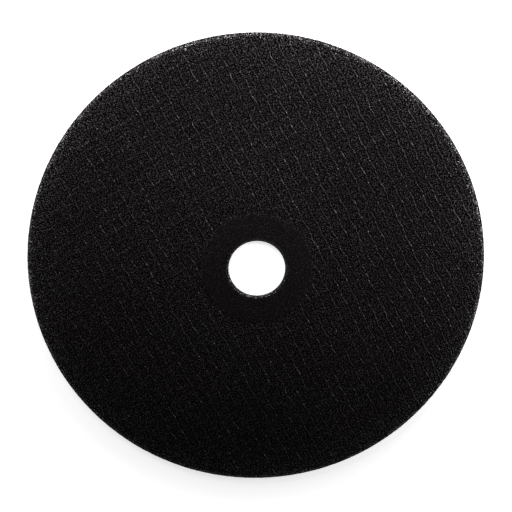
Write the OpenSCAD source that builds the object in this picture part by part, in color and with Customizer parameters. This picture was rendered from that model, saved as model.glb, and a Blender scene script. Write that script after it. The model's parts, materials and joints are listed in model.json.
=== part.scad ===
// Flat cut-off wheel: a thin resin-bonded abrasive disc, pressed in one piece with glass weave in both faces.
// It lies on one face: the origin is the middle of its underside and +Z is its turning axis.

/* [Wheel] */

// outside diameter of the wheel (mm)
wheel_d = 178; // [150:1:230]
// thickness over the clamping lands (mm)
thickness = 2.4; // [2:0.1:4]
// diameter of the arbor bore (mm)
bore_d = 22.23; // [16:0.01:25.4]

/* [Clamping land] */

// diameter of the smooth land that the flanges clamp, on both faces (mm)
land_d = 44; // [38:1:60]
// how far the land stands above the crests of the weave (mm)
land_rise = 0.04; // [0.02:0.01:0.1]

/* [Glass weave] */

// distance from one raised thread to the next (mm)
thread_pitch = 4.12; // [3.6:0.02:6]
// width of a thread where it meets the face (mm)
thread_foot = 1.1; // [0.8:0.1:1.6]
// width of a thread along its crest (mm)
thread_crest = 0.4; // [0.2:0.1:0.6]
// height of a thread above the face (mm)
thread_h = 0.16; // [0.1:0.02:0.24]
// angle of the threads from the Y axis, seen from above (degrees)
thread_turn = 27; // [-45:1:45]

/* [Worn edges] */

// width of the rounded, bare-grit edge at the rim (mm)
rim_edge_w = 1.2; // [0.6:0.1:2]
// depth of the rounded edge at the rim (mm)
rim_edge_drop = 0.5; // [0.2:0.1:0.6]
// width of the rounded edge at the bore (mm)
bore_edge_w = 0.7; // [0.3:0.1:1]
// depth of the rounded edge at the bore (mm)
bore_edge_drop = 0.3; // [0.1:0.1:0.4]

/* [Hidden] */

$fn = 180;

wheel_r = wheel_d / 2;
bore_r = bore_d / 2;
land_r = land_d / 2;
field_r = wheel_r - rim_edge_w;
half_t = thickness / 2;
field_z = half_t - land_rise - thread_h;
thread_root = thread_h;
thread_count = ceil(field_r / thread_pitch);
edge_steps = 6;
black_grit = "#201e1f";

// Points of a quarter ellipse, from its end on the flat face round to its end on the wall.
function edge_round(wall_r, width, face_z, drop) = [
    for (k = [0:edge_steps])
        let (a = 90 * k / edge_steps)
        [wall_r - width * (1 - sin(a)), face_z - drop * (1 - cos(a))]
];

function mirrored(points) = [for (k = [len(points) - 1:-1:0]) [points[k][0], -points[k][1]]];

// Upper half of the wheel's section, from the bore wall out to the rim, as radius and height over mid-plane.
upper_section = concat(
    mirrored(edge_round(bore_r, -bore_edge_w, -half_t, -bore_edge_drop)),
    [[land_r, half_t], [land_r, field_z]],
    edge_round(wheel_r, rim_edge_w, field_z, rim_edge_drop)
);

module pressed_disc() {
    rotate_extrude()
        polygon(concat(upper_section, mirrored(upper_section)));
}

// One thread of the weave, along Y, with its lower part sunk in the face.
module thread() {
    spread = (thread_foot - thread_crest) / 2 * (1 + thread_root / thread_h);
    root = thread_crest / 2 + spread;
    rotate([90, 0, 0])
        linear_extrude(wheel_d, center = true)
            polygon([
                [-root, -thread_root],
                [root, -thread_root],
                [thread_crest / 2, thread_h],
                [-thread_crest / 2, thread_h]
            ]);
}

// The raised threads of one face, trimmed to the field between the clamping land and the rim edge.
module weave() {
    intersection() {
        rotate(thread_turn)
            for (k = [-thread_count:thread_count])
                translate([k * thread_pitch, 0, 0])
                    thread();
        difference() {
            cylinder(r = field_r, h = thickness, center = true);
            cylinder(r = land_r, h = 2 * thickness, center = true);
        }
    }
}

module wheel() {
    color(black_grit)
        translate([0, 0, half_t])
            union() {
                pressed_disc();
                translate([0, 0, field_z])
                    weave();
                rotate([180, 0, 0])
                    translate([0, 0, field_z])
                        weave();
            }
}

wheel();
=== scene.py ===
"""Looks of a flat cut-off wheel: black resin and grit, glass weave in both faces and bare grain at the edges.

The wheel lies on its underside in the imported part's frame, in metres: +Z is its turning axis, and the camera
looks down on it with +X to the right and +Y up in the picture.
"""

import json

import bpy
import numpy as np
from mathutils import Matrix, Vector


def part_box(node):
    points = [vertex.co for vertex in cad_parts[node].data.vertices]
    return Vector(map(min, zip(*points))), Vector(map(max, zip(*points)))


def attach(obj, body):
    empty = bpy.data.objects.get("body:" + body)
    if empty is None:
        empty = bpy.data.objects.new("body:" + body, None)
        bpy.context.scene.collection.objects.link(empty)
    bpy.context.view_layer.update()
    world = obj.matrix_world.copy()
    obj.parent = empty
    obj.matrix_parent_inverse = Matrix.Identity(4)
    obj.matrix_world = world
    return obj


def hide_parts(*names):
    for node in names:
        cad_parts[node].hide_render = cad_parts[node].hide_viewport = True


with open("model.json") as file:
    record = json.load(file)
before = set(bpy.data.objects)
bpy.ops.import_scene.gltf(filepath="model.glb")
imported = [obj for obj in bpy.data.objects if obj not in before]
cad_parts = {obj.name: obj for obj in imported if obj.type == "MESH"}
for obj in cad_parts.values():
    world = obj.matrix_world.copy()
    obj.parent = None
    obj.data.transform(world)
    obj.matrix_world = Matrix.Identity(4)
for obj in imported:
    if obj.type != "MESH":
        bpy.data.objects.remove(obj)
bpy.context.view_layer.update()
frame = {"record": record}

MM = 0.001

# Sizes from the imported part
low, high = (np.array(corner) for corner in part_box("wheel"))
mounts = {mount["name"]: mount for mount in frame["record"]["mounts"]}
WHEEL_R = (high - low)[:2].max() / 2
HALF_T = (high - low)[2] / 2
BORE_R = mounts["arbor_bore"]["dims"]["r_mm"] * MM

# Section of the wheel
LAND_R = 22.0 * MM
LAND_FALL_W = 1.0 * MM
FIELD_DROP = 0.2 * MM
RIM_EDGE_W, RIM_EDGE_DROP = 1.2 * MM, 0.5 * MM
BORE_EDGE_W, BORE_EDGE_DROP = 0.7 * MM, 0.3 * MM
FIELD_R = WHEEL_R - RIM_EDGE_W
FIELD_Z = HALF_T - FIELD_DROP

# Core: steps round the axis, depth under a woven skin, and width over which it rises to the rim's edge
CORE_TURNS = 720
SKIN_DEPTH = 0.12 * MM
CORE_RISE_W = 1.2 * MM

# Roughness of the core: size and height of its lumps and of its grit, and the share of both that is on the lands
LUMP_CELL, LUMP_H = 2.4 * MM, 0.04 * MM
CORE_GRIT_CELL, CORE_GRIT_H = 0.9 * MM, 0.06 * MM
LAND_ROUGH = 0.2

# Crumbled rim: size and depth of the spots, and how far the noise slants along X and Y as it goes up
CRUMBLE_CELL, CRUMBLE_DEPTH = 1.0 * MM, 0.12 * MM
CRUMBLE_SLANT_X, CRUMBLE_SLANT_Y = 3, 2

# Lattice of the smooth noise: its points each way, and how far along it the lower face of the core starts
NOISE_POINTS = 512
UNDERSIDE_SHIFT = 0.3

# Glass weave: the angle from +X of the raised and of the cross threads' normal, their pitch and their height
RAISED_NORMAL, RAISED_PITCH, RAISED_H = 27.0, 4.12 * MM, 0.17 * MM
CROSS_NORMAL, CROSS_PITCH, CROSS_H = -61.6, 4.27 * MM, 0.05 * MM

# One repeat of a raised thread: its length, and the share of it where a cross thread lies, the next half a repeat on
REPEAT = 2 * CROSS_PITCH
CROSS_AT = 0.42

# Raised thread over one repeat: the share of the way, its height there as a share, and its swing aside in mm
STRAND_AT, STRAND_H, STRAND_SWING = np.array([
    (0.0, 0.75, -0.29),
    (0.15, 0.7, -0.1),
    (0.3, 0.9, 0.09),
    (0.42, 1.0, 0.25),
    (0.5, 0.75, 0.35),
    (0.545, 0.2, 0.08),
    (0.585, 0.7, -0.16),
    (0.66, 1.0, 0.03),
    (0.73, 0.5, 0.21),
    (0.765, 0.15, 0.1),
    (0.8, 0.6, 0.0),
    (0.87, 0.85, -0.15),
    (0.95, 0.9, -0.31),
]).T

# Uneven strands: their least height as a share, what noise adds to it and the most they get
STRAND_LEAST, STRAND_MORE, STRAND_MOST = 0.65, 0.7, 1.2

# That noise: its size along a thread, and how many times narrower it is across
STRAND_CELL, STRAND_NARROW = 6 * MM, 4

# Lines of a skin's grid: across a raised thread from its middle, and along it as shares of its repeat
GRID_ACROSS = np.array([-1.62, -1.0, -0.5, -0.24, 0.0, 0.24, 0.5, 1.0, 1.62]) * MM
GRID_ALONG = np.array([
    0.03, 0.12, 0.22, 0.32, 0.375, 0.42, 0.47, 0.51, 0.56, 0.62, 0.69, 0.75, 0.81, 0.87, 0.92, 0.97,
])

# Threads and gutters: where each lies from its thread's middle, the width of its bell and the gutters' depth
CREST_W = 0.17 * MM
GUTTER_AT, GUTTER_W, GUTTER_DEPTH = 0.45 * MM, 0.2 * MM, 0.05 * MM
CROSS_W = 0.42 * MM
CROSS_CREST_AT, CROSS_CREST_W = -0.2 * MM, 0.25 * MM
CROSS_GUTTER_AT, CROSS_GUTTER_W = 0.6 * MM, 0.28 * MM

# Grit in a skin's shape: width that a raised thread holds, moves aside and up, and the share of the last on a thread
FIRM_W = 0.3 * MM
LOOSE_ASIDE, LOOSE_UP, FIRM_UP_SHARE = 0.14 * MM, 0.01 * MM, 0.3

# Threads that wander from their straight lines: how far in all, and over which length
WANDER = 0.9 * MM
RAISED_WANDER_CELL, CROSS_WANDER_CELL = 26 * MM, 24 * MM

# Borders of a skin: where the weave fades, where it dips under the rim's edge, and how far it runs past both ends
FADE_W = 0.6 * MM
DIP_W = 0.05 * MM
PAST_LAND, PAST_FIELD = 0.4 * MM, 0.5 * MM

# How pale a point of the weave is: less than this in a gutter's painted shade, this on plain grit, up to 1 on a
# crest that is partly bare and partly painted highlight
PLAIN_GRIT = 0.5

# Crests partly bare and partly painted highlight, and gutters of painted shade: the way towards the lamps in which
# the painted light grows stronger, their mean and their gain out to the rim
RIGHT, UPPER_LEFT = (0.89, 0.45), (-0.6, 0.8)
RAISED_BARE_AND_HIGHLIGHT, RAISED_HIGHLIGHT_GAIN = 0.73, 0.25
CROSS_BARE_AND_HIGHLIGHT, CROSS_HIGHLIGHT_GAIN = 0.15, 0.21
GUTTER_SHADE, GUTTER_SHADE_GAIN = 0.25, 0.16
CROSS_GUTTER_SHADE = 0.15

# Broad clouds in the faces' grit: their size, and how far they lighten and darken it in all
CLOUD_CELL, CLOUD_DEPTH = 18.0 * MM, 0.28

# Bare grain: its radius with the spread in it, and how far its corners are pulled in and out
GRAIN_R, GRAIN_SPREAD = 0.24 * MM, 0.35
GRAIN_PULL = 0.7, 1.25

# Bare grain at the edges: number, share of its radius it is sunk by, and share of the edge left free at each end
RIM_GRAINS, RIM_SUNK, RIM_FREE = 17000, 0.75, 0.05
BORE_GRAINS, BORE_SUNK, BORE_FREE = 2600, 0.7, 0.04

# The share of a grain's radius that it is sunk by along Z
EDGE_SUNK_Z = 0.3

# Bare grain on the faces beside the rim's edge: number, width of the border, and share of a radius it is sunk by
BORDER_GRAINS, BORDER_W, BORDER_SUNK = 2600, 1.6 * MM, 0.5

# Tone of the bare grain: the way in which painted light makes it paler at the rim and at the bore, towards the side
# that faces the lamps, its mean and its gain
FAR_SIDE, RIM_TONE, RIM_LIT_SIDE_GAIN = (0.26, 0.97), 0.86, 0.18
NEAR_SIDE, BORE_TONE, BORE_LIT_SIDE_GAIN = (-0.5, -0.87), 0.9, 0.42
BORE_TONE_POWER = 0.8

# Grit in the finish: from grain to grain, its rise, the turn of its pattern and how irregular it is
GRIT_CELL, GRIT_RISE = 0.70 * MM, 0.42 * MM
GRIT_TURN, GRIT_IRREGULAR = 0.3, 0.8

# Distances from a grain's middle, in cells, over which it darkens: on a woven skin and on the core
SKIN_DOT, CORE_DOT = (0.06, 0.47), (0.12, 0.62)

# Paleness of the grit: the least, what a grain's own chance adds to it, and the power that makes pale grains rare
SPECK_LEAST, SPECK_MORE, SPECK_POWER = 0.22, 0.43, 3.0

# Smooth lands: their even paleness, the share of grit left on them and the radii between which the grit sets in
LAND_PALE, LAND_GRIT = 0.042, 0.3
GRIT_STARTS, GRIT_FULL = LAND_R - 1.5 * MM, LAND_R + 1.0 * MM

# Rings worn paler, at the bore's edge and twice inside the rim: inner and outer radius, and the gain at each
WORN_RINGS = [
    (BORE_R + 0.5 * MM, BORE_R + 1.6 * MM, 2.2, 1.0),
    (FIELD_R - 17.0 * MM, FIELD_R - 1.0 * MM, 1.0, 1.45),
    (FIELD_R - 6.5 * MM, FIELD_R - 2.5 * MM, 1.0, 1.27),
]

# Painted shade in the gutters: the weave's paleness where it is deepest, and the share of the grit's paleness that
# it leaves
GUTTER_SHADE_DEEPEST, GUTTER_SHADE_LEAVES = 0.1, 0.2

# Painted glint on a thread's crest: the least, what a grain's own chance adds to it, and the power that makes bright
# ones rare
GLINT_LEAST, GLINT_MORE, GLINT_POWER = 0.6, 2.5, 8.0

# Colours
RESIN_BLACK = 0.0017, 0.0008, 0.00125, 1
GRIT_GREY = 0.099, 0.0935, 0.0965, 1
GRAIN_DARK = 0.013, 0.012, 0.0125, 1
GRAIN_MIDDLE = 0.07, 0.064, 0.066, 1
GRAIN_PALE = 0.56, 0.545, 0.535, 1
FLOOR_GREY = 0.7, 0.7, 0.7, 1
WHITE = 1, 1, 1, 1

# Tone at which a bare grain has its middle colour
GRAIN_MIDDLE_AT = 0.55

# Roughness and shine
GRIT_DULL, GRIT_GLOSSY, GRIT_SHINE = 0.7, 0.45, 0.02
GRAIN_ROUGH, GRAIN_SHINE = 0.4, 0.2
FLOOR_ROUGH, FLOOR_SHINE = 0.9, 0.0

# Studio: the floor's half width, its glow beside the wheel, and the radii between which the glow comes up to 1
FLOOR_HALF = 2.0
# Dimming the glow beside the wheel paints a soft shade round it
SHADE_GLOW_BESIDE = 0.75
GLOW_STARTS, GLOW_FULL = 1.02 * WHEEL_R, 1.25 * WHEEL_R

# Room: the heights between which its white walls end, as the sine of the elevation, and the ceiling's brightness
WALL_ENDS, CEILING_STARTS = 0.36, 0.6
CEILING = 0.01

# Camera of the photograph: tilt off the axis and azimuth in degrees, reach and aim in wheel radii, lens in mm
CAMERA_TILT, CAMERA_AZIMUTH = 13.26, 94.67
CAMERA_REACH = 3.441
CAMERA_AIM = -0.0041, 0.0585, 0
LENS_MM, SENSOR_MM = 55.26, 36
NEAREST_SEEN = 0.01


def smoothstep(share):
    """A share from 0 to 1, eased so that it starts and ends level."""
    return share * share * (3 - 2 * share)


def bell(away, width):
    """1 at no distance, falling to both sides as a Gaussian bell that has 1/e left at its width."""
    return np.exp(-(away / width) ** 2)


def share_towards(way, x, y, radius):
    """How far points lie in one direction of the wheel's plane, from -1 to 1 at a radius."""
    return (way[0] * x + way[1] * y) / radius


def value_noise(x, y, cell, seed):
    """Smooth noise from 0 to 1: random heights on a square lattice, blended across each cell by smoothstep."""
    heights = np.random.default_rng(seed).random((NOISE_POINTS, NOISE_POINTS))
    i = np.floor(x / cell).astype(int)
    j = np.floor(y / cell).astype(int)
    a = smoothstep(x / cell - i)
    b = smoothstep(y / cell - j)
    i, j, i1, j1 = (index % NOISE_POINTS for index in (i, j, i + 1, j + 1))
    near = heights[i, j] * (1 - a) + heights[i1, j] * a
    far = heights[i, j1] * (1 - a) + heights[i1, j1] * a
    return near * (1 - b) + far * b


def mesh_object(name, points, faces, material, smooth=True, chart=None):
    """Object at the origin from an array of points and an array of faces with equal corner counts.

    A chart gives each point's place on a flat map, named OFBake, that the finish can be baked through.
    """
    mesh = bpy.data.meshes.new(name)
    corners = faces.shape[1]
    mesh.vertices.add(len(points))
    mesh.vertices.foreach_set("co", np.ascontiguousarray(points, np.float32).ravel())
    mesh.loops.add(faces.size)
    mesh.loops.foreach_set("vertex_index", np.ascontiguousarray(faces, np.int32).ravel())
    mesh.polygons.add(len(faces))
    mesh.polygons.foreach_set("loop_start", np.arange(0, faces.size, corners, dtype=np.int32))
    mesh.polygons.foreach_set("use_smooth", np.full(len(faces), smooth))
    mesh.update(calc_edges=True)
    if chart is not None:
        layer = mesh.uv_layers.new(name="OFBake")
        layer.uv.foreach_set("vector", np.ascontiguousarray(chart[faces.ravel()], np.float32).ravel())
    mesh.materials.append(material)
    made = bpy.data.objects.new(name, mesh)
    bpy.context.scene.collection.objects.link(made)
    return made


def store_at_points(made, name, values):
    """Stores a number at each point of a piece, for its material to read."""
    made.data.attributes.new(name, "FLOAT", "POINT").data.foreach_set("value", values.astype(np.float32))


def edge_round(wall_r, width, face_z, drop, steps):
    """Quarter ellipse from the flat face round to the wall, as radius and height over mid-plane."""
    a = np.linspace(0, np.pi / 2, steps)
    return np.stack([wall_r - width * (1 - np.sin(a)), face_z - drop * (1 - np.cos(a))], axis=1)


def section():
    """Closed section of the core, from the bore over the upper face to the rim and back under the lower face.

    Each station has a radius and a height over mid-plane. Under the woven skins the core lies a little lower.
    """
    bore_edge = edge_round(BORE_R, -BORE_EDGE_W, HALF_T, BORE_EDGE_DROP, steps=7)[::-1]
    land = np.linspace(BORE_R + BORE_EDGE_W, LAND_R - 0.5 * LAND_FALL_W, 16)[1:-1]
    share = np.linspace(0, 1, 8)
    fall = LAND_R + LAND_FALL_W * (share - 0.5)
    fall_z = HALF_T - (FIELD_DROP + SKIN_DEPTH) * smoothstep(share)
    floor = np.linspace(fall[-1], FIELD_R - CORE_RISE_W, 12)[1:]
    rim_edge = edge_round(WHEEL_R, RIM_EDGE_W, FIELD_Z, RIM_EDGE_DROP, steps=8)
    upper = np.concatenate([
        [[BORE_R, 0.0]],
        bore_edge,
        np.stack([land, np.full_like(land, HALF_T)], axis=1),
        np.stack([fall, fall_z], axis=1),
        np.stack([floor, np.full_like(floor, fall_z[-1])], axis=1),
        rim_edge,
        [[WHEEL_R, 0.0]],
    ])
    lower = upper[-2:0:-1] * [1, -1]
    return np.concatenate([upper, lower])


def wheel_core(material):
    """The pressed core with its bore, clamping lands and rim: its closed section turned about Z.

    Each point moves along Z by two sizes of smooth noise, hardly on the lands, and the rim's radius crumbles.
    """
    r, z = section().T
    angle = np.linspace(0, 2 * np.pi, CORE_TURNS, endpoint=False)
    x = r[:, None] * np.cos(angle)
    y = r[:, None] * np.sin(angle)
    side = np.sign(z)[:, None]
    shift = np.where(side > 0, 0.0, UNDERSIDE_SHIFT)
    lumps = value_noise(x + shift, y, LUMP_CELL, seed=1) - 0.5
    grit = value_noise(x + shift, y, CORE_GRIT_CELL, seed=2) - 0.5
    rough = np.clip((r - LAND_R) / LAND_FALL_W + 0.5, LAND_ROUGH, 1)[:, None]
    z = z[:, None] + side * rough * (LUMP_H * lumps + CORE_GRIT_H * grit)
    at_rim = np.clip((r - FIELD_R) / RIM_EDGE_W, 0, 1)[:, None]
    spots = value_noise(x + z * CRUMBLE_SLANT_X, y + z * CRUMBLE_SLANT_Y, CRUMBLE_CELL, seed=3)
    crumbled = 1 - at_rim * CRUMBLE_DEPTH / WHEEL_R * spots
    points = np.stack([x * crumbled, y * crumbled, np.clip(z + HALF_T, 0, 2 * HALF_T)], axis=2)

    # Squares between the stations of the section and the next ones round the axis
    stations = len(r)
    i = np.arange(stations)[:, None]
    j = np.arange(CORE_TURNS)[None, :]
    here, there = i * CORE_TURNS, (i + 1) % stations * CORE_TURNS
    j1 = (j + 1) % CORE_TURNS
    faces = np.stack(np.broadcast_arrays(here + j, there + j, there + j1, here + j1), axis=2)
    return mesh_object("wheel_core", points.reshape(-1, 3), faces.reshape(-1, 4), material)


def woven_skin(name, side, material, seed, cloud_seed):
    """One face's glass weave under its resin, as a height over a grid laid along both sets of threads.

    Across the raised threads the height is a narrow bell on each thread with a gutter on both sides. A raised
    thread is a twisted pair, so over two cross pitches it zigzags and dips twice. Each cross thread is a lower,
    wider bell with a gutter on its far side. Every grid point off the crests also moves at random, as grit does.
    Two numbers are stored at each point: how pale the weave is there, from the same bells, and the cloud there,
    from broad smooth noise. The paleness holds painted highlight on the crests and painted shade in the gutters,
    both stronger towards the lamps.
    """
    rng = np.random.default_rng(seed)
    raised = int(WHEEL_R / RAISED_PITCH) + 1
    repeats = int(WHEEL_R / REPEAT) + 1
    s = (RAISED_PITCH * np.arange(-raised, raised + 1)[:, None] + GRID_ACROSS).ravel()
    t = (np.arange(-repeats, repeats + 1)[:, None] + GRID_ALONG).ravel()
    u, v = np.meshgrid(s, REPEAT * t, indexing="ij")
    off, phase = np.meshgrid(
        np.tile(GRID_ACROSS, 2 * raised + 1), np.tile(GRID_ALONG, 2 * repeats + 1), indexing="ij")

    # Heights
    uneven = STRAND_LEAST + STRAND_MORE * value_noise(u * STRAND_NARROW, v, STRAND_CELL, seed + 1)
    strand = np.interp(phase, STRAND_AT, STRAND_H, period=1) * np.minimum(uneven, STRAND_MOST)
    crest = strand * bell(off, CREST_W)
    gutter = bell(np.abs(off) - GUTTER_AT, GUTTER_W)
    past = ((phase - CROSS_AT + 0.25) % 0.5 - 0.25) * REPEAT
    cross = bell(past, CROSS_W)
    cross_crest = bell(past - CROSS_CREST_AT, CROSS_CREST_W)
    cross_gutter = bell(past - CROSS_GUTTER_AT, CROSS_GUTTER_W)
    height = np.maximum(RAISED_H * crest, CROSS_H * cross) - GUTTER_DEPTH * np.maximum(gutter, cross_gutter)
    loose = 1 - bell(off, FIRM_W)
    moves = FIRM_UP_SHARE + (1 - FIRM_UP_SHARE) * loose
    height = height + moves * LOOSE_UP * rng.uniform(-1, 1, u.shape)

    # Places in the wheel's plane
    swing = MM * np.interp(phase, STRAND_AT, STRAND_SWING, period=1)
    swing = swing + WANDER * (value_noise(u, v, RAISED_WANDER_CELL, seed + 2) - 0.5)
    u = u + swing + loose * LOOSE_ASIDE * rng.uniform(-1, 1, u.shape)
    swing = WANDER * (value_noise(u, v, CROSS_WANDER_CELL, seed + 3) - 0.5)
    v = v + swing + loose * LOOSE_ASIDE * rng.uniform(-1, 1, u.shape)
    turn = np.radians([RAISED_NORMAL, CROSS_NORMAL])
    plane = np.linalg.inv(np.stack([np.cos(turn), np.sin(turn)], axis=1))
    x, y = np.einsum("ij,jkl->ikl", plane, np.stack([u, v]))
    r = np.hypot(x, y)
    fade = np.clip((FIELD_R - r) / FADE_W, 0, 1)
    z = FIELD_Z + height * fade - np.maximum(r - FIELD_R + DIP_W, 0)

    # Tones: crests partly bare, partly painted highlight; gutters painted shade; both stronger towards the lamps
    right = share_towards(RIGHT, x, y, WHEEL_R)
    upper_left = share_towards(UPPER_LEFT, x, y, WHEEL_R)
    bare = np.maximum(
        crest * (RAISED_BARE_AND_HIGHLIGHT + RAISED_HIGHLIGHT_GAIN * right), cross_crest * (CROSS_BARE_AND_HIGHLIGHT + CROSS_HIGHLIGHT_GAIN * upper_left))
    dark = gutter * (GUTTER_SHADE + GUTTER_SHADE_GAIN * right) + CROSS_GUTTER_SHADE * cross_gutter
    tone = PLAIN_GRIT + (1 - PLAIN_GRIT) * bare - (1 - crest) * dark
    cloud = 1 + CLOUD_DEPTH * (value_noise(x, y, CLOUD_CELL, cloud_seed) - 0.5)

    # Squares of the grid that lie in the field
    rows, columns = u.shape
    i = np.arange(rows - 1)[:, None]
    j = np.arange(columns - 1)[None, :]
    a = i * columns + j
    faces = np.stack([a, a + 1, a + columns + 1, a + columns], axis=2).reshape(-1, 4)
    inside = ((r > LAND_R - PAST_LAND) & (r < FIELD_R + PAST_FIELD)).ravel()
    faces = faces[inside[faces].all(axis=1)]
    kept, faces = np.unique(faces, return_inverse=True)
    points = np.stack([x.ravel(), side * y.ravel(), HALF_T + side * z.ravel()], axis=1)[kept]
    chart = 0.5 + points[:, :2] / (2 * WHEEL_R)
    made = mesh_object(name, points, faces.reshape(-1, 4), material, smooth=False, chart=chart)
    store_at_points(made, "weave", tone.ravel()[kept])
    store_at_points(made, "cloud", cloud.ravel()[kept])
    return made


def grain_shapes(centres, seed):
    """Crushed grains: an octahedron at each centre, turned at random, with every corner pulled in or out.

    On the chart each grain has a square of its own, where its corners lie on a diamond and at its middle.
    """
    rng = np.random.default_rng(seed)
    base = np.array([[1, 0, 0], [-1, 0, 0], [0, 1, 0], [0, -1, 0], [0, 0, 1], [0, 0, -1]])
    triangles = np.array([[0, 2, 4], [2, 1, 4], [1, 3, 4], [3, 0, 4], [2, 0, 5], [1, 2, 5], [3, 1, 5], [0, 3, 5]])
    count = len(centres)
    axes, _ = np.linalg.qr(rng.normal(size=(count, 3, 3)))
    axes *= np.sign(np.linalg.det(axes))[:, None, None]
    radius = GRAIN_R * (1 + GRAIN_SPREAD * rng.uniform(-1, 1, (count, 1)))
    pull = rng.uniform(*GRAIN_PULL, (count, len(base))) * radius
    points = centres[:, None, :] + np.einsum("cij,kj->cki", axes, base) * pull[:, :, None]
    faces = triangles[None] + len(base) * np.arange(count)[:, None, None]
    side = int(np.ceil(count ** 0.5))
    square = np.stack(np.divmod(np.arange(count), side), axis=1)[:, None, :]
    chart = (square + 0.5 + 0.5 * base[:, :2]) / side
    return points.reshape(-1, 3), faces.reshape(-1, 3), chart.reshape(-1, 2)


def places_on_edge(rng, count, edge, sunk, free):
    """Random places for grains along an edge's section, from its upper to its lower flat, and round the axis.

    The edge is given as for edge_round. A share of the section is left free at both ends.
    """
    width = edge[1]
    profile = edge_round(*edge, steps=9)
    profile = np.concatenate([profile, profile[::-1] * [1, -1]])
    length = np.concatenate([[0], np.cumsum(np.hypot(*np.diff(profile, axis=0).T))])
    place = length[-1] * rng.uniform(free, 1 - free, count)
    r = np.interp(place, length, profile[:, 0]) - np.sign(width) * sunk * GRAIN_R
    z = np.interp(place, length, profile[:, 1])
    z = z - np.sign(z) * EDGE_SUNK_Z * GRAIN_R
    angle = rng.uniform(0, 2 * np.pi, count)
    return np.stack([r * np.cos(angle), r * np.sin(angle), z + HALF_T], axis=1)


def places_on_border(rng, count):
    """Random places for grains on both faces beside the rim's edge, thinning out inwards."""
    r = FIELD_R - BORDER_W * rng.random(count) ** 2
    angle = rng.uniform(0, 2 * np.pi, count)
    side = np.sign(rng.uniform(-1, 1, count))
    z = HALF_T + side * (FIELD_Z - BORDER_SUNK * GRAIN_R)
    return np.stack([r * np.cos(angle), r * np.sin(angle), z], axis=1)


def edge_grain(material):
    """Bare grain along the worn edges: scattered over the rim and the bore, more than half sunk, and beside the rim.

    Each grain has a tone of its own, a random number times a share that grows towards the far side, which is painted
    light where the lamps fall. At the bore the tone is raised to a power and grows towards the near side, painted
    light on the bore's wall that faces the lamps.
    """
    rng = np.random.default_rng(seed=5)
    rim = places_on_edge(rng, RIM_GRAINS, (WHEEL_R, RIM_EDGE_W, FIELD_Z, RIM_EDGE_DROP), RIM_SUNK, RIM_FREE)
    bore = places_on_edge(rng, BORE_GRAINS, (BORE_R, -BORE_EDGE_W, HALF_T, BORE_EDGE_DROP), BORE_SUNK, BORE_FREE)
    centres = np.concatenate([rim, bore, places_on_border(rng, BORDER_GRAINS)])
    points, faces, chart = grain_shapes(centres, seed=6)
    points[:, 2] = np.clip(points[:, 2], 0, 2 * HALF_T)
    made = mesh_object("edge_grain", points, faces, material, smooth=False, chart=chart)
    # Painted light: paler towards the side of the rim and the wall of the bore that face the lamps
    far_side = share_towards(FAR_SIDE, centres[:, 0], centres[:, 1], WHEEL_R)
    tone = rng.random(len(centres)) * (RIM_TONE + RIM_LIT_SIDE_GAIN * far_side)
    at_bore = slice(len(rim), len(rim) + len(bore))
    near_side = share_towards(NEAR_SIDE, bore[:, 0], bore[:, 1], BORE_R)
    tone[at_bore] = tone[at_bore] ** BORE_TONE_POWER * (BORE_TONE + BORE_LIT_SIDE_GAIN * near_side)
    store_at_points(made, "tone", np.repeat(tone, len(points) // len(centres)))
    return made


class Nodes:
    """Short helper to add and link the nodes of one material or world."""

    def __init__(self, owner, shader="Principled BSDF"):
        owner.use_nodes = True
        self.tree = owner.node_tree
        self.shader = self.tree.nodes[shader]

    def add(self, kind, settings=None, *numbered, **named):
        """A node of that kind with its settings and inputs, which are values or other nodes' outputs."""
        node = self.tree.nodes.new(kind)
        for key, value in (settings or {}).items():
            setattr(node, key, value)
        for key, value in [*enumerate(numbered), *named.items()]:
            self.set(node, key, value)
        return node

    def set(self, node, key, value):
        """An input, by number or by name with _ for a space, set to a value or linked to an output."""
        socket = node.inputs[key if isinstance(key, int) else key.replace("_", " ")]
        if isinstance(value, bpy.types.NodeSocket):
            self.tree.links.new(value, socket)
        else:
            socket.default_value = value

    def surface(self, **inputs):
        """Inputs of the material's or the world's own shader."""
        for key, value in inputs.items():
            self.set(self.shader, key, value)

    def math(self, operation, *values):
        """One step of arithmetic on numbers or outputs."""
        return self.add("ShaderNodeMath", {"operation": operation}, *values).outputs[0]

    def span(self, value, from_low, from_high, to_low=0.0, to_high=1.0):
        """Value moved smoothly from one range to another, kept inside it."""
        node = self.add("ShaderNodeMapRange", {"interpolation_type": "SMOOTHSTEP"}, Value=value,
                        From_Min=from_low, From_Max=from_high, To_Min=to_low, To_Max=to_high)
        return node.outputs["Result"]

    def stored(self, name):
        """Number that a piece stores at its points under that name."""
        return self.add("ShaderNodeAttribute", {"attribute_name": name}).outputs["Fac"]

    def place(self):
        """Place of a point in the wheel's frame."""
        return self.add("ShaderNodeTexCoord").outputs["Object"]

    def radius(self):
        """Distance of a point from the wheel's axis."""
        flat = self.add("ShaderNodeVectorMath", {"operation": "MULTIPLY"}, self.place(), (1.0, 1.0, 0.0))
        return self.add("ShaderNodeVectorMath", {"operation": "LENGTH"}, flat.outputs["Vector"]).outputs["Value"]

    def seen(self):
        """1 for rays from the camera and for reflected or refracted ones, 0 for the rays that light the wheel."""
        path = self.add("ShaderNodeLightPath").outputs
        shiny = self.math("MAXIMUM", path["Is Glossy Ray"], path["Is Transmission Ray"])
        return self.math("MAXIMUM", path["Is Camera Ray"], shiny)


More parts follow.
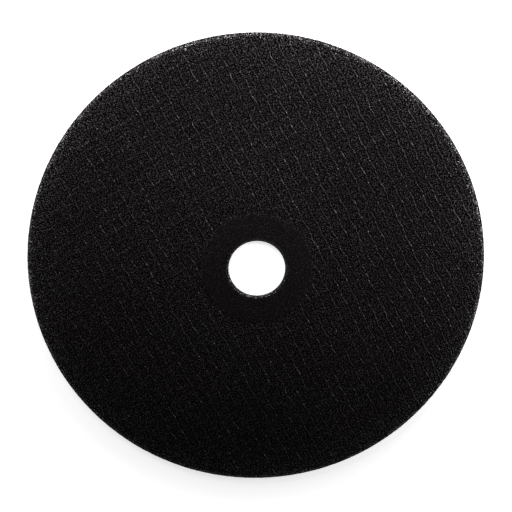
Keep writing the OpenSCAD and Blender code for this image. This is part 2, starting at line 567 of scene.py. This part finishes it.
def resin_grit(name, woven):
    """Black resin over dark grit: rounded grains with dark gaps between them, and a plainer land.

    Each grain is a cell of a Voronoi pattern, in the wheel's plane on a woven skin and in space on the core. Its
    height falls with the distance from its middle, and its paleness is a power of a random number that fades
    towards its edge. The bore's edge and the border inside the rim are worn paler. On a woven skin the clouds
    change the grit's paleness, the gutters darken it with painted shade, and the crests of the threads, partly bare,
    carry painted highlight and painted glints.
    """
    material = bpy.data.materials.new(name)
    nodes = Nodes(material)
    radius = nodes.radius()
    gritty = nodes.span(radius, GRIT_STARTS, GRIT_FULL, LAND_GRIT, 1.0)

    # Grains and their rise
    turned = nodes.add("ShaderNodeMapping", Vector=nodes.place(), Rotation=(0, 0, GRIT_TURN),
                       Scale=(1 / GRIT_CELL,) * 3)
    grains = nodes.add("ShaderNodeTexVoronoi", {"voronoi_dimensions": "2D" if woven else "3D"},
                       Vector=turned.outputs["Vector"], Scale=1.0, Randomness=GRIT_IRREGULAR)
    away = grains.outputs["Distance"]
    chance = nodes.add("ShaderNodeSeparateColor", Color=grains.outputs["Color"]).outputs["Red"]
    bump = nodes.add("ShaderNodeBump", {"invert": True}, Height=nodes.math("MULTIPLY", away, gritty),
                     Strength=1.0, Distance=GRIT_RISE)

    # Paleness
    dot_starts, dot_ends = SKIN_DOT if woven else CORE_DOT
    pale = nodes.math("MULTIPLY_ADD", nodes.math("POWER", chance, SPECK_POWER), SPECK_MORE, SPECK_LEAST)
    pale = nodes.math("MULTIPLY", pale, nodes.span(away, dot_starts, dot_ends, 1.0, 0.0))
    pale = nodes.math("MULTIPLY_ADD", nodes.math("SUBTRACT", pale, LAND_PALE), gritty, LAND_PALE)
    for inner_r, outer_r, inner_gain, outer_gain in WORN_RINGS:
        pale = nodes.math("MULTIPLY", pale, nodes.span(radius, inner_r, outer_r, inner_gain, outer_gain))
    # On a woven skin the gutters carry painted shade, and the crests painted highlight and glints
    if woven:
        weave = nodes.stored("weave")
        crest = nodes.span(weave, PLAIN_GRIT, 1.0)
        gutter = nodes.span(weave, GUTTER_SHADE_DEEPEST, PLAIN_GRIT, GUTTER_SHADE_LEAVES, 1.0)
        glint = nodes.math("MULTIPLY_ADD", nodes.math("POWER", chance, GLINT_POWER), GLINT_MORE, GLINT_LEAST)
        pale = nodes.math("MULTIPLY", nodes.math("MULTIPLY", pale, nodes.stored("cloud")), gutter)
        pale = nodes.math("MULTIPLY_ADD", crest, glint, pale)
    tone = nodes.add("ShaderNodeMix", {"data_type": "RGBA", "clamp_factor": False}, Factor=pale,
                     A=RESIN_BLACK, B=GRIT_GREY)
    nodes.surface(Base_Color=tone.outputs["Result"], Normal=bump.outputs["Normal"],
                  Roughness=nodes.span(chance, 0.0, 1.0, GRIT_DULL, GRIT_GLOSSY), Specular_IOR_Level=GRIT_SHINE)
    return material


def bare_grain():
    """Bare abrasive grain: dark brown-grey to pale, by a tone stored at every grain, partly its own and partly
    painted light.
    """
    material = bpy.data.materials.new("bare_grain")
    nodes = Nodes(material)
    ramp = nodes.add("ShaderNodeValToRGB", Fac=nodes.stored("tone"))
    stops = ramp.color_ramp.elements
    stops[0].position, stops[0].color = 0.0, GRAIN_DARK
    stops[1].position, stops[1].color = 1.0, GRAIN_PALE
    stops.new(GRAIN_MIDDLE_AT).color = GRAIN_MIDDLE
    nodes.surface(Base_Color=ramp.outputs["Color"], Roughness=GRAIN_ROUGH, Specular_IOR_Level=GRAIN_SHINE)
    return material


def studio_floor():
    """Pale floor that the camera and reflections see as white, with the wheel's shadow kept on it.

    What makes it white is a glow, a little weaker beside the wheel so that the lamps' shadow shows there; the weaker
    glow also paints a soft shade round the wheel.
    """
    material = bpy.data.materials.new("studio_floor")
    nodes = Nodes(material)
    nodes.surface(Base_Color=FLOOR_GREY, Roughness=FLOOR_ROUGH, Specular_IOR_Level=FLOOR_SHINE)
    glow = nodes.span(nodes.radius(), GLOW_STARTS, GLOW_FULL, SHADE_GLOW_BESIDE, 1.0)
    white = nodes.add("ShaderNodeEmission", Color=WHITE, Strength=nodes.math("MULTIPLY", nodes.seen(), glow))
    both = nodes.add("ShaderNodeAddShader", None, nodes.shader.outputs["BSDF"], white.outputs["Emission"])
    nodes.set(nodes.tree.nodes["Material Output"], "Surface", both.outputs["Shader"])
    corners = FLOOR_HALF * np.array([[-1, -1, 0], [1, -1, 0], [1, 1, 0], [-1, 1, 0]])
    floor = mesh_object("floor", corners, np.array([[0, 1, 2, 3]]), material, smooth=False)


def softbox(name, place, aim, size, spread, power):
    """Rectangular area lamp turned towards a point on the wheel, with a grid that narrows its spread."""
    lamp = bpy.data.lights.new(name, "AREA")
    lamp.shape = "RECTANGLE"
    lamp.size, lamp.size_y = size
    lamp.spread = np.radians(spread)
    lamp.energy = power
    made = bpy.data.objects.new(name, lamp)
    made.location = place
    made.rotation_euler = (Vector(place) - Vector(aim)).to_track_quat("Z", "Y").to_euler()
    bpy.context.scene.collection.objects.link(made)


def studio_light():
    """Soft lamps over the far edge, to its right and left, so that the near side falls off.

    Round them is a room whose walls look white and whose ceiling is nearly black. It hardly lights the wheel.
    """
    softbox("right_softbox", place=(0.14, 0.12, 0.13), aim=(0.07, 0.06, 0),
            size=(0.20, 0.12), spread=56, power=0.111)
    softbox("left_softbox", place=(-0.08, 0.15, 0.10), aim=(-0.03, 0.06, 0),
            size=(0.20, 0.10), spread=80, power=0.116)
    world = bpy.data.worlds.new("studio")
    bpy.context.scene.world = world
    nodes = Nodes(world, "Background")
    look = nodes.add("ShaderNodeSeparateXYZ", Vector=nodes.add("ShaderNodeTexCoord").outputs["Generated"])
    wall = nodes.span(look.outputs["Z"], WALL_ENDS, CEILING_STARTS, 1.0, 0.0)
    wall = nodes.math("MULTIPLY", nodes.seen(), wall)
    nodes.surface(Color=WHITE, Strength=nodes.span(wall, 0.0, 1.0, CEILING, 1.0))


def photo_camera():
    """Camera of the photograph: 13 degrees off the wheel's axis towards +Y, +Y up in the picture."""
    tilt, azimuth = np.radians([CAMERA_TILT, CAMERA_AZIMUTH])
    way = np.array([np.sin(tilt) * np.cos(azimuth), np.sin(tilt) * np.sin(azimuth), np.cos(tilt)])
    top = np.array([0, 0, 2 * HALF_T - FIELD_DROP])
    eye = top + CAMERA_REACH * WHEEL_R * way
    aim = top + WHEEL_R * np.array(CAMERA_AIM)
    back = Vector(eye - aim).normalized()
    right = Vector((0, 1, 0)).cross(back).normalized()
    up = back.cross(right)
    lens = bpy.data.cameras.new("photo_camera")
    lens.sensor_width = SENSOR_MM
    lens.lens = LENS_MM
    lens.clip_start = NEAREST_SEEN
    made = bpy.data.objects.new("photo_camera", lens)
    made.matrix_world = Matrix.Translation(eye) @ Matrix((right, up, back)).transposed().to_4x4()
    bpy.context.scene.collection.objects.link(made)
    bpy.context.scene.camera = made


woven_grit = resin_grit("black_woven_grit", woven=True)
pieces = [
    wheel_core(resin_grit("black_pressed_grit", woven=False)),
    woven_skin("upper_skin", 1, woven_grit, seed=21, cloud_seed=262),
    woven_skin("lower_skin", -1, woven_grit, seed=41, cloud_seed=129),
    edge_grain(bare_grain()),
]
for piece in pieces:
    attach(piece, "root")
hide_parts("wheel")

studio_floor()
studio_light()
photo_camera()
bpy.context.scene.view_settings.view_transform = "Standard"
